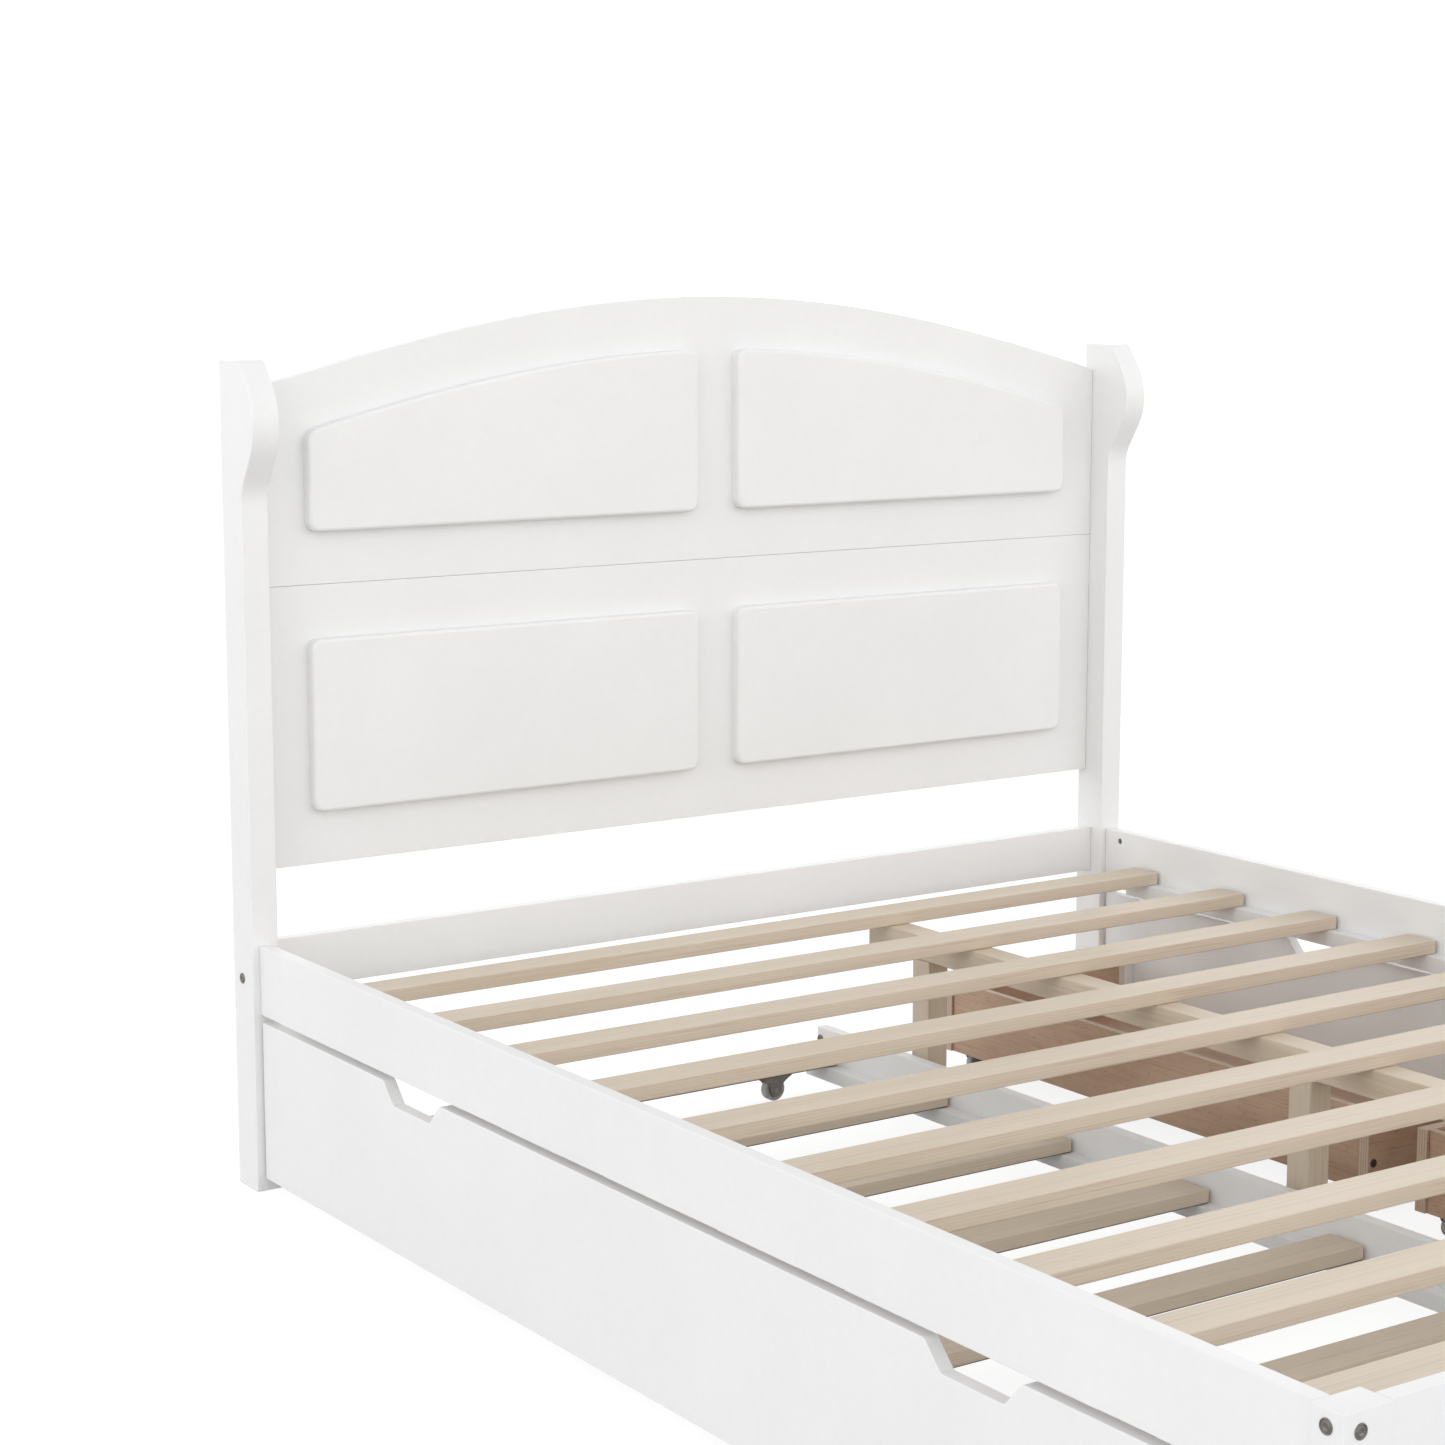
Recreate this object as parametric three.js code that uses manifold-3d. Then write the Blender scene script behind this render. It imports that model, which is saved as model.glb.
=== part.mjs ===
// Queen-size trundle bed: arched headboard, slatted deck on a centre beam,
// a trundle on casters at the -X side and two drawers on casters at the +X side.
// Millimetres, +Z up, floor at z = 0, head end toward +Y.
// X and Y are measured from the middle of the plan.
import * as THREE from "three";
import { mergeVertices } from "three/addons/utils/BufferGeometryUtils.js";
import Module from "manifold-3d";

const wasm = await Module();
wasm.setup();

// Driving dimensions
const WIDTH = 1598; // over the head posts
const LENGTH = 2111; // back of the head posts to the face of the foot posts
const GAP = 0.3; // air between two pieces that rest on each other
const BOARD = 18.3; // rails and panels

const POST_W = 40; // head post, across the bed
const POST_D = 60; // head post, along the bed
const POST_H = 1159;
// Scroll at the top of a head post, from the side: a hollow, a bulge and a crown, joined by straight slopes
const SCROLL_REACH = 101.5; // foremost point of the bulge, from the post's back face
const SCROLL_Z = 1073; // height of that point
const BULGE_R = 88;
const HOLLOW_R = 60;
const CROWN_R = 14;
const LOWER_SLOPE = 31.5; // degrees from upright
const UPPER_SLOPE = 36;

const FOOT_POST_W = 58;
const FOOT_POST_D = 38;
const FOOT_POST_INSET = 6; // outer face, inside the head posts' outer face

const BOARD_BOTTOM = 449;
const BOARD_SEAM = 845; // joint between the lower and the upper headboard panel
const BOARD_SHOULDER = 1117.5; // height of the arch where it meets the posts
const BOARD_CROWN = 1240;
const HEADBOARD_T = 18.5;
const FIELD_PROUD = 18.3; // raised fields stand this far in front of the board
const FIELD_INNER = 36.4; // bed's middle line to a field's inner edge
const FIELD_OUTER = 684.5;
const FIELD_ARCH_MARGIN = 78; // upper field's top edge to the arch
const FIELD_TOP_MARGIN = 75; // lower field's top edge to the seam
const UPPER_FOOT_MARGIN = 74.5; // upper field's bottom edge to the seam
const LOWER_FOOT_MARGIN = 76.3; // lower field's bottom edge to its board's bottom edge
const FIELD_CORNER = 17;
const FIELD_SOFT = 5; // rounding of a field's front edge

const RAIL_TOP = 352;
const RAIL_H = 98;
const RAIL_INSET = 11.2; // side rail's outer face, inside the head posts' outer face
const HEAD_RAIL_H = 74;
const HEAD_RAIL_FRONT = 36; // front face, forward of the head posts' back face
const FOOT_RAIL_INSET = 3.5;

const LEDGER_W = 22;
const LEDGER_TOP = 279;
const LEDGER_START = 137.3; // head end of a ledger, from the back of the head posts
const LEDGER_END = 1996;

const SLAT_COUNT = 10;
const SLAT_W = 56;
const SLAT_T = 20;
const SLAT_FIRST = 196; // front edge of the first slat, from the back of the head posts
const SLAT_PITCH = 200.4;
const SLAT_END_GAP = 5;

const BEAM_X = 210; // left face of the centre beam
const BEAM_W = 40;
const BEAM_H = 38;
const BEAM_START = 142;
const LEG_W = 37;
const LEG_D = 40;
const LEG_CENTRES = [273, 1071.5, 1870];

const FRONT_TOP = 244; // trundle and drawer fronts
const FRONT_BOTTOM = 19;
const FRONT_START = 64;
const FRONT_END = 2069;
const HAND_TOP_W = 150; // hand notch in the top edge of a front
const HAND_BOTTOM_W = 96;
const HAND_DEPTH = 28.5;
const HAND_SOFT = 3.5; // rounding of a notch's corners
const TRUNDLE_HANDS = [495.3, 1624.6]; // middles of the trundle's notches, from the back of the head posts

const TRUNDLE_BACK_X = 187; // outer face of the trundle's back rail
const TRUNDLE_RAIL_TOP = 99;
const TRUNDLE_RAIL_H = 74;
const TRUNDLE_LEDGER_TOP = 48;
const TRUNDLE_SLAT_COUNT = 8;
const TRUNDLE_SLAT_W = 59;
const TRUNDLE_SLAT_T = 19.3;

const DRAWER_BACK_X = 393; // back ends of a drawer's sides
const DRAWER_BOX_INSET = 40; // side's outer face, inside the end of the drawer front
const DRAWER_BOTTOM = 37;
const DRAWER_TOP = 152;
const DRAWER_SIDE_T = 18;
const DRAWER_BACK_T = 12;
const DRAWER_BACK_SET = 4; // back panel, forward of the sides' back ends
const DRAWER_FLOOR_T = 9;
const DRAWER_SPLIT = 5; // gap between the two drawer fronts
const CLEAT = 20; // corner cleats behind a drawer front

// Casters: wheel radius and width, plate length, width and thickness, cheek thickness and its lower length
const TRUNDLE_CASTER = { r: 18, w: 15, pl: 64, pw: 30, pt: 2.3, ft: 2, fl: 22 };
const DRAWER_CASTER = { r: 15, w: 12, pl: 44, pw: 24, pt: 2, ft: 1.6, fl: 18 };
const TRUNDLE_CASTER_INSET = [118.7, 20]; // wheel centre from the back rail's outer face and from an end
const DRAWER_CASTER_INSET = [44, 26]; // wheel centre from the sides' back ends and outer faces

const WHITE = { color: 0xf1f0ee, roughness: 0.42, metalness: 0 };
const PINE = { color: 0xd5c1a3, roughness: 0.62, metalness: 0 };
const PLY = { color: 0x9a6a4c, roughness: 0.6, metalness: 0 };
const STEEL = { color: 0x3a3a3d, roughness: 0.4, metalness: 0.85 };
const TYRE = { color: 0x4d4e50, roughness: 0.55, metalness: 0 };

const halfW = WIDTH / 2;
const headY = LENGTH / 2;
const fromHead = (d) => headY - d; // y of a plane d forward of the head posts' back face
const railOuter = halfW - RAIL_INSET;
const railInner = railOuter - BOARD;
const slatBottom = LEDGER_TOP + GAP;

const bed = new THREE.Group();

function add(name, geometry, look) {
  const mesh = new THREE.Mesh(geometry, new THREE.MeshStandardMaterial(look));
  mesh.name = name;
  bed.add(mesh);
  return mesh;
}

function block(x0, x1, y0, y1, z0, z1) {
  const g = new THREE.BoxGeometry(Math.abs(x1 - x0), Math.abs(y1 - y0), Math.abs(z1 - z0));
  return g.translate((x0 + x1) / 2, (y0 + y1) / 2, (z0 + z1) / 2);
}

function addBlock(name, look, ...limits) {
  return add(name, block(...limits), look);
}

// A shape drawn in (y, z), extruded from x0 to x1
function extrudeX(shape, x0, x1, curveSegments = 6) {
  const g = new THREE.ExtrudeGeometry(shape, { depth: x1 - x0, bevelEnabled: false, curveSegments });
  const turn = new THREE.Matrix4().makeBasis(
    new THREE.Vector3(0, 1, 0),
    new THREE.Vector3(0, 0, 1),
    new THREE.Vector3(1, 0, 0),
  );
  return g.applyMatrix4(turn).translate(x0, 0, 0);
}

// A shape drawn in (x, z), extruded forward (toward -y) from y0 by depth
function extrudeForward(shape, y0, depth, options = {}) {
  const g = new THREE.ExtrudeGeometry(shape, { depth, bevelEnabled: false, curveSegments: 6, ...options });
  const turn = new THREE.Matrix4().makeBasis(
    new THREE.Vector3(1, 0, 0),
    new THREE.Vector3(0, 0, 1),
    new THREE.Vector3(0, -1, 0),
  );
  return g.applyMatrix4(turn).translate(0, y0, 0);
}

function toSolid(geometry) {
  const g = geometry.clone();
  g.deleteAttribute("normal");
  g.deleteAttribute("uv");
  const welded = mergeVertices(g, 1e-3);
  return new wasm.Manifold(
    new wasm.Mesh({
      numProp: 3,
      vertProperties: new Float32Array(welded.attributes.position.array),
      triVerts: new Uint32Array(welded.index.array),
    }),
  );
}

function fuse(geometries) {
  const solid = geometries.map(toSolid).reduce((a, b) => a.add(b));
  const made = solid.getMesh();
  const g = new THREE.BufferGeometry();
  g.setAttribute("position", new THREE.BufferAttribute(made.vertProperties, 3));
  g.setIndex(new THREE.BufferAttribute(made.triVerts, 1));
  g.computeVertexNormals();
  return g;
}

// Points along an arc, with a step every few degrees
function arc([cx, cz], radius, from, to, steps) {
  return Array.from({ length: steps + 1 }, (_, i) => {
    const turn = from + ((to - from) * i) / steps;
    return [cx + radius * Math.cos(turn), cz + radius * Math.sin(turn)];
  });
}

// Front outline of a scroll from its foot up, as [distance forward of the back face, height]
function scroll() {
  const lower = THREE.MathUtils.degToRad(LOWER_SLOPE);
  const upper = THREE.MathUtils.degToRad(UPPER_SLOPE);
  const bulge = [SCROLL_REACH - BULGE_R, SCROLL_Z];
  // The hollow touches the post's front face and the lower slope
  const slopeX = bulge[0] + BULGE_R * Math.cos(lower);
  const slopeZ = bulge[1] - BULGE_R * Math.sin(lower);
  const hollowX = POST_D + HOLLOW_R;
  const hollowZ = slopeZ + ((hollowX - slopeX) * Math.cos(lower) - HOLLOW_R) / Math.sin(lower);
  // The crown touches the upper slope and the post's top
  const crownZ = POST_H - CROWN_R;
  const rise = (crownZ - bulge[1]) * Math.sin(upper);
  const crownX = bulge[0] + (BULGE_R - CROWN_R - rise) / Math.cos(upper);
  return [
    ...arc([hollowX, hollowZ], HOLLOW_R, Math.PI, Math.PI - lower, 5),
    ...arc(bulge, BULGE_R, -lower, upper, 12),
    ...arc([crownX, crownZ], CROWN_R, upper, Math.PI / 2, 5),
  ];
}

// Head posts with a scroll that swells forward at the top
function headPost(name, x0) {
  const outline = new THREE.Shape();
  outline.moveTo(fromHead(0), 0);
  outline.lineTo(fromHead(0), POST_H);
  for (const [d, z] of scroll().reverse()) {
    outline.lineTo(fromHead(d), z);
  }
  outline.lineTo(fromHead(POST_D), 0);
  outline.closePath();
  add(name, extrudeX(outline, x0, x0 + POST_W, 4), WHITE);
}

// Height of the headboard's top edge at x
function archHeight(x) {
  const t = x / (halfW - POST_W);
  const rise = 0.7 * Math.cos((Math.PI / 2) * t) + 0.3 * (1 - t * t);
  return BOARD_SHOULDER + (BOARD_CROWN - BOARD_SHOULDER) * rise;
}

function archLine(shape, xFrom, xTo, drop, steps) {
  for (let i = 0; i <= steps; i += 1) {
    const x = xFrom + ((xTo - xFrom) * i) / steps;
    shape.lineTo(x, archHeight(x) - drop);
  }
}

// Outline of a raised field from inner edge xa to outer edge xb, rounded at the corners
function fieldShape(side, z0, topAt) {
  const [xl, xr] = side < 0 ? [-FIELD_OUTER, -FIELD_INNER] : [FIELD_INNER, FIELD_OUTER];
  const r = FIELD_CORNER;
  const s = new THREE.Shape();
  s.moveTo(xl + r, z0);
  s.lineTo(xr - r, z0);
  s.quadraticCurveTo(xr, z0, xr, z0 + r);
  s.lineTo(xr, topAt(xr) - r);
  s.quadraticCurveTo(xr, topAt(xr), xr - r, topAt(xr - r));
  const steps = 14;
  for (let i = 1; i <= steps; i += 1) {
    const x = xr - r + ((xl + r - (xr - r)) * i) / steps;
    s.lineTo(x, topAt(x));
  }
  s.quadraticCurveTo(xl, topAt(xl), xl, topAt(xl) - r);
  s.lineTo(xl, z0 + r);
  s.quadraticCurveTo(xl, z0, xl + r, z0);
  return s;
}

function raisedField(shape) {
  const inBoard = 6;
  const depth = inBoard + FIELD_PROUD - 2 * FIELD_SOFT;
  return extrudeForward(shape, fromHead(HEADBOARD_T - inBoard + FIELD_SOFT), depth, {
    bevelEnabled: true,
    bevelThickness: FIELD_SOFT,
    bevelSize: FIELD_SOFT,
    bevelOffset: -FIELD_SOFT,
    bevelSegments: 3,
    curveSegments: 5,
  });
}

function headboard() {
  const x = halfW - POST_W - GAP;
  const upper = new THREE.Shape();
  upper.moveTo(-x, BOARD_SEAM + GAP);
  upper.lineTo(x, BOARD_SEAM + GAP);
  archLine(upper, x, -x, 0, 36);
  upper.closePath();
  const upperFields = [-1, 1].map((side) =>
    raisedField(fieldShape(side, BOARD_SEAM + UPPER_FOOT_MARGIN, (v) => archHeight(v) - FIELD_ARCH_MARGIN)),
  );
  const upperBoard = extrudeForward(upper, fromHead(0), HEADBOARD_T);
  add("headboard_upper", fuse([upperBoard, ...upperFields]), WHITE);
  const lowerFields = [-1, 1].map((side) =>
    raisedField(fieldShape(side, BOARD_BOTTOM + LOWER_FOOT_MARGIN, () => BOARD_SEAM - FIELD_TOP_MARGIN)),
  );
  const lowerBoard = block(-x, x, fromHead(HEADBOARD_T), fromHead(0), BOARD_BOTTOM, BOARD_SEAM);
  add("headboard_lower", fuse([lowerBoard, ...lowerFields]), WHITE);
}

function bedFrame() {
  headPost("head_post_left", -halfW);
  headPost("head_post_right", halfW - POST_W);
  headboard();
  const inner = halfW - POST_W - GAP;
  addBlock("head_rail", WHITE, -inner, inner, fromHead(HEAD_RAIL_FRONT), fromHead(HEAD_RAIL_FRONT - BOARD),
    RAIL_TOP - HEAD_RAIL_H, RAIL_TOP);

  const footOuter = halfW - FOOT_POST_INSET;
  const footBack = LENGTH - FOOT_POST_D;
  for (const [side, name] of [[-1, "left"], [1, "right"]]) {
    const rail = block(side * railOuter, side * railInner, fromHead(POST_D + GAP), fromHead(footBack - GAP),
      RAIL_TOP - RAIL_H, RAIL_TOP);
    const ledger = block(side * (railInner + 1), side * (railInner - LEDGER_W), fromHead(LEDGER_START),
      fromHead(LEDGER_END), RAIL_TOP - RAIL_H, LEDGER_TOP);
    add(`side_rail_${name}`, fuse([rail, ledger]), WHITE);
    addBlock(`foot_post_${name}`, WHITE, side * footOuter, side * (footOuter - FOOT_POST_W),
      fromHead(LENGTH), fromHead(footBack), 0, RAIL_TOP);
  }
  const footInner = footOuter - FOOT_POST_W - GAP;
  const footFace = LENGTH - FOOT_RAIL_INSET;
  addBlock("foot_rail", WHITE, -footInner, footInner, fromHead(footFace), fromHead(footFace - BOARD),
    RAIL_TOP - RAIL_H, RAIL_TOP);
}

function deck() {
  addBlock("centre_beam", PINE, BEAM_X, BEAM_X + BEAM_W, fromHead(LEDGER_END), fromHead(BEAM_START),
    LEDGER_TOP - BEAM_H, LEDGER_TOP);
  const places = ["head", "middle", "foot"];
  LEG_CENTRES.forEach((d, i) => {
    addBlock(`centre_leg_${places[i]}`, PINE, BEAM_X, BEAM_X + LEG_W, fromHead(d + LEG_D / 2),
      fromHead(d - LEG_D / 2), 0, LEDGER_TOP - BEAM_H - GAP);
  });
  const end = railInner - SLAT_END_GAP;
  for (let i = 0; i < SLAT_COUNT; i += 1) {
    const front = SLAT_FIRST + i * SLAT_PITCH;
    addBlock(`bed_slat_${String(i + 1).padStart(2, "0")}`, PINE, -end, end, fromHead(front),
      fromHead(front - SLAT_W), slatBottom, slatBottom + SLAT_T);
  }
}

// Outline in (y, z) of a front with hand notches in its top edge, notch centres given from the head end
function frontShape(start, end, notches) {
  const s = new THREE.Shape();
  const wide = HAND_TOP_W / 2;
  const narrow = HAND_BOTTOM_W / 2;
  const floor = FRONT_TOP - HAND_DEPTH;
  const soft = HAND_SOFT;
  s.moveTo(fromHead(start), FRONT_BOTTOM);
  s.lineTo(fromHead(start), FRONT_TOP);
  for (const c of notches) {
    const y = fromHead(c);
    s.lineTo(y + wide + soft, FRONT_TOP);
    s.quadraticCurveTo(y + wide, FRONT_TOP, y + wide - soft * 0.6, FRONT_TOP - soft * 0.6);
    s.lineTo(y + narrow + soft * 0.7, floor + soft * 0.7);
    s.quadraticCurveTo(y + narrow, floor, y + narrow - soft, floor);
    s.lineTo(y - narrow + soft, floor);
    s.quadraticCurveTo(y - narrow, floor, y - narrow - soft * 0.7, floor + soft * 0.7);
    s.lineTo(y - wide + soft * 0.6, FRONT_TOP - soft * 0.6);
    s.quadraticCurveTo(y - wide, FRONT_TOP, y - wide - soft, FRONT_TOP);
  }
  s.lineTo(fromHead(end), FRONT_TOP);
  s.lineTo(fromHead(end), FRONT_BOTTOM);
  s.closePath();
  return s;
}

// Fixed fork of a caster: top plate and two tapered cheeks either side of the wheel
function fork(c, x, y, top) {
  const plate = block(x - c.pl / 2, x + c.pl / 2, y - c.pw / 2, y + c.pw / 2, top - c.pt, top);
  const cheek = new THREE.Shape();
  cheek.moveTo(x - c.fl / 2, c.r * 0.45);
  cheek.lineTo(x + c.fl / 2, c.r * 0.45);
  cheek.lineTo(x + c.pl / 2 - 2, top - c.pt / 2);
  cheek.lineTo(x - c.pl / 2 + 2, top - c.pt / 2);
  cheek.closePath();
  const inside = c.w / 2 + 0.8;
  const cheeks = [y - inside, y + inside + c.ft].map((front) => extrudeForward(cheek, front, c.ft));
  return [plate, ...cheeks];
}

// Solid caster wheel on an axle along y, with eased edges
function wheel(name, c, x, y) {
  const ease = 1.5;
  const half = c.w / 2;
  const profile = [
    [0, -half], [c.r - ease, -half], [c.r, ease - half], [c.r, half - ease], [c.r - ease, half], [0, half],
  ];
  const g = new THREE.LatheGeometry(profile.map(([r, h]) => new THREE.Vector2(r, h)), 32);
  const mesh = add(name, g, TYRE);
  mesh.position.set(x, y, c.r);
}

function trundle() {
  const panelInner = -railInner;
  const panel = extrudeX(frontShape(FRONT_START, FRONT_END, TRUNDLE_HANDS), -railOuter, panelInner, 5);
  const foot = TRUNDLE_RAIL_TOP - TRUNDLE_RAIL_H;
  const span = [fromHead(FRONT_END), fromHead(FRONT_START)];
  const frontLedger = block(panelInner - 1, panelInner + LEDGER_W, ...span, foot, TRUNDLE_LEDGER_TOP);
  add("trundle_front", fuse([panel, frontLedger]), WHITE);

  const backInner = TRUNDLE_BACK_X - BOARD;
  const rail = block(backInner, TRUNDLE_BACK_X, ...span, foot, TRUNDLE_RAIL_TOP);
  const backLedger = block(backInner - LEDGER_W, backInner + 1, ...span, foot, TRUNDLE_LEDGER_TOP);
  add("trundle_back_rail", fuse([rail, backLedger]), WHITE);

  const low = TRUNDLE_LEDGER_TOP + GAP;
  const pitch = (FRONT_END - FRONT_START - TRUNDLE_SLAT_W) / (TRUNDLE_SLAT_COUNT - 1);
  for (let i = 0; i < TRUNDLE_SLAT_COUNT; i += 1) {
    const start = FRONT_START + i * pitch;
    addBlock(`trundle_slat_${i + 1}`, PINE, panelInner + SLAT_END_GAP, backInner - SLAT_END_GAP,
      fromHead(start + TRUNDLE_SLAT_W), fromHead(start), low, low + TRUNDLE_SLAT_T);
  }

  const [inX, inY] = TRUNDLE_CASTER_INSET;
  const xs = [-railOuter + inX, TRUNDLE_BACK_X - inX];
  const ys = [fromHead(FRONT_START + inY), fromHead(FRONT_END - inY)];
  let n = 0;
  for (const y of ys) {
    for (const x of xs) {
      n += 1;
      add(`trundle_caster_${n}`, fuse(fork(TRUNDLE_CASTER, x, y, low - GAP)), STEEL);
      wheel(`trundle_wheel_${n}`, TRUNDLE_CASTER, x, y);
    }
  }
}

function drawer(index, start, end) {
  const name = `drawer_${index}`;
  const outerHead = start + DRAWER_BOX_INSET;
  const outerFoot = end - DRAWER_BOX_INSET;
  const innerHead = outerHead + DRAWER_SIDE_T + GAP;
  const innerFoot = outerFoot - DRAWER_SIDE_T - GAP;
  const panel = extrudeX(frontShape(start, end, [(start + end) / 2]), railInner, railOuter, 5);
  const cleats = [innerHead, innerFoot - CLEAT].map((d) =>
    block(railInner - CLEAT, railInner + 1, fromHead(d + CLEAT), fromHead(d),
      DRAWER_BOTTOM + DRAWER_FLOOR_T + 2, DRAWER_TOP - 2),
  );
  add(`${name}_front`, fuse([panel, ...cleats]), WHITE);

  const xFront = railInner - GAP;
  const base = DRAWER_BOTTOM + GAP;
  addBlock(`${name}_side_head`, PLY, DRAWER_BACK_X, xFront, fromHead(outerHead + DRAWER_SIDE_T),
    fromHead(outerHead), base, DRAWER_TOP);
  addBlock(`${name}_side_foot`, PLY, DRAWER_BACK_X, xFront, fromHead(outerFoot),
    fromHead(outerFoot - DRAWER_SIDE_T), base, DRAWER_TOP);
  const xBack = DRAWER_BACK_X + DRAWER_BACK_SET;
  addBlock(`${name}_back`, PLY, xBack, xBack + DRAWER_BACK_T, fromHead(innerFoot), fromHead(innerHead), base,
    DRAWER_TOP);

  const tray = block(xBack + DRAWER_BACK_T + GAP, xFront, fromHead(innerFoot), fromHead(innerHead),
    DRAWER_BOTTOM, DRAWER_BOTTOM + DRAWER_FLOOR_T);
  const [inX, inY] = DRAWER_CASTER_INSET;
  const xs = [DRAWER_BACK_X + inX, railInner - inX];
  const ys = [fromHead(outerHead + inY), fromHead(outerFoot - inY)];
  const spots = ys.flatMap((y) => xs.map((x) => [x, y]));
  const forks = spots.flatMap(([x, y]) => fork(DRAWER_CASTER, x, y, DRAWER_BOTTOM));
  add(`${name}_bottom`, fuse([tray, ...forks]), PLY);
  spots.forEach(([x, y], i) => wheel(`${name}_wheel_${i + 1}`, DRAWER_CASTER, x, y));
}

bedFrame();
deck();
trundle();
const split = (FRONT_START + FRONT_END) / 2;
drawer(1, FRONT_START, split - DRAWER_SPLIT / 2);
drawer(2, split + DRAWER_SPLIT / 2, FRONT_END);

export default bed;
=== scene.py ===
# Looks of a queen trundle bed: painted headboard and frame, softwood slats, a trundle at the
# -X side and two plywood drawers at the +X side. Metres, +Z up, head end toward +Y.
import math
import random

import bmesh
import bpy
from mathutils import Matrix, Vector


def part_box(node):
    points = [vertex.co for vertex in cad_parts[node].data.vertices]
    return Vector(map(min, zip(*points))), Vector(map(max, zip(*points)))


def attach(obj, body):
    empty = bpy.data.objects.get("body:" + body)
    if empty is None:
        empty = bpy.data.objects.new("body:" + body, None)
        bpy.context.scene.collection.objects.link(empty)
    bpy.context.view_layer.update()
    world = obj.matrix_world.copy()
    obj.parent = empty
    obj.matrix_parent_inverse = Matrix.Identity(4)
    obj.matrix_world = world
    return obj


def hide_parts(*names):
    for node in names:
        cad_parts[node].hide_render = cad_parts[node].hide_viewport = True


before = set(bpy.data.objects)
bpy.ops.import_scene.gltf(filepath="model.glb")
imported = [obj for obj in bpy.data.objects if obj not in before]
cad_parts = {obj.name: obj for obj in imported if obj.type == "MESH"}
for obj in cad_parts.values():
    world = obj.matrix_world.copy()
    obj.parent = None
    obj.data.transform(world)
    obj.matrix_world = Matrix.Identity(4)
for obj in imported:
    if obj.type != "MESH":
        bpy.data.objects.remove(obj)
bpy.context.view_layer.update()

# Camera: the viewing angle, in degrees, and where it stands
CAMERA_PLACE = (-2.510, -2.670, 1.2766)
CAMERA_TURN = 34.294
CAMERA_DOWN = 8.685
CAMERA_LENS = 73.507
SENSOR = 36.0

# Sizes that the frame's boxes don't give by themselves
BOARD = 0.0183  # thickness of rails and fronts
LEDGER_W = 0.022
LEDGER_TOP = 0.279
LEDGER_START = 0.1373  # from the back of the head posts
LEDGER_END = 1.996
TRUNDLE_LEDGER_TOP = 0.048
TRUNDLE_RAIL_BOTTOM = 0.025
POST_D = 0.060  # head post, along the bed
SCROLL_REACH = 0.1015  # foremost point of a head post's scroll, from the post's back face
SCROLL_Z = 1.073  # height of that point
BULGE_R = 0.088
HOLLOW_R = 0.060
CROWN_R = 0.014
LOWER_SLOPE = 31.5  # degrees from upright
UPPER_SLOPE = 36.0
SHOULDER = 1.1175  # height of the headboard's arch at the posts
HEADBOARD_T = 0.0185
FIELD_INNER = 0.0364  # middle line to a raised field's inner edge
FIELD_OUTER = 0.6845
FIELD_ARCH_MARGIN = 0.078  # upper field's top edge to the arch
FIELD_TOP_MARGIN = 0.075  # lower field's top edge to the seam
UPPER_FOOT_MARGIN = 0.0745  # upper field's bottom edge to the seam
LOWER_FOOT_MARGIN = 0.0763  # lower field's bottom edge to its board's bottom edge
FIELD_CORNER = 0.017
FIELD_PROUD = 0.0183
FIELD_SOFT = 0.0055  # rounding of a field's front edge
HAND_TOP_W = 0.150
HAND_BOTTOM_W = 0.096
HAND_DEPTH = 0.0285
HAND_SOFT = 0.0035  # rounding of a notch's corners
TRUNDLE_HANDS = (0.4953, 1.6246)  # middles of the trundle's notches, from the back of the head posts
DRAWER_FLOOR_T = 0.009
CLEAT = 0.020

# Rounding of edges
PAINT_EDGE = 0.0014
BOARD_EDGE = 0.0009  # headboard panels
FIELD_CREASE = 0.0009  # undercut where a raised field meets its board
POST_EDGE = 0.0018
LEDGER_EDGE = 0.0012
CLEAT_EDGE = 0.0015
CLEAT_SHORT = 0.002  # a cleat stops this far from the drawer's floor and from the sides' top
SLAT_EDGE = 0.0016
PLY_EDGE = 0.0007

# Fasteners: heads of furniture bolts, and slotted barrel nuts
BOLT_R = 0.0075
BOLT_PROUD = 0.0013
NUT_R = 0.0048
NUT_DEPTH = 0.006

HEAD_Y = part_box("head_post_left")[1].y  # back of the head posts


# Studio: the floor as it is seen and as it lights the bed, glow of the surroundings level with the
# eye and overhead, and lamps as name, place, target, size, watts
FLOOR_SEEN_GREY = 0.20
FLOOR_SEEN_GLOW = 0.87
FLOOR_GREY = 0.62
FLOOR_GLOW = 0.065
HORIZON = 1.75
ZENITH = 0.25
LAMPS = [
    ("left", (-5.0, -1.0, 4.5), (0, 0, 0.4), 3.0, 20.0),
    ("front", (0.5, -6.5, 2.0), (0, 0, 0.5), 3.0, 9.0),
]


# Mesh helpers

def from_head(distance):
    """The y of a plane that far forward of the head posts' back face."""
    return HEAD_Y - distance


def finished_mesh(bm, name):
    bmesh.ops.recalc_face_normals(bm, faces=bm.faces[:])
    mesh = bpy.data.meshes.new(name)
    bm.to_mesh(mesh)
    bm.free()
    return mesh


def make_piece(name, mesh, body, look, at=(0, 0, 0), replaced=()):
    """A piece of the bed at that place, with its look, its body and the nodes it stands for."""
    material, slot = look
    mesh.materials.append(material)
    mesh.shade_smooth()
    tone = mesh.attributes.new("tone", "FLOAT", "POINT")
    value = random.Random(name).random()
    tone.data.foreach_set("value", [value] * len(mesh.vertices))
    piece = bpy.data.objects.new(name, mesh)
    bpy.context.scene.collection.objects.link(piece)
    piece.location = at
    flats = piece.modifiers.new("level_flats", "WEIGHTED_NORMAL")
    flats.keep_sharp = True
    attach(piece, body)
    if replaced:
        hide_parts(*replaced)
    return piece


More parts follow.
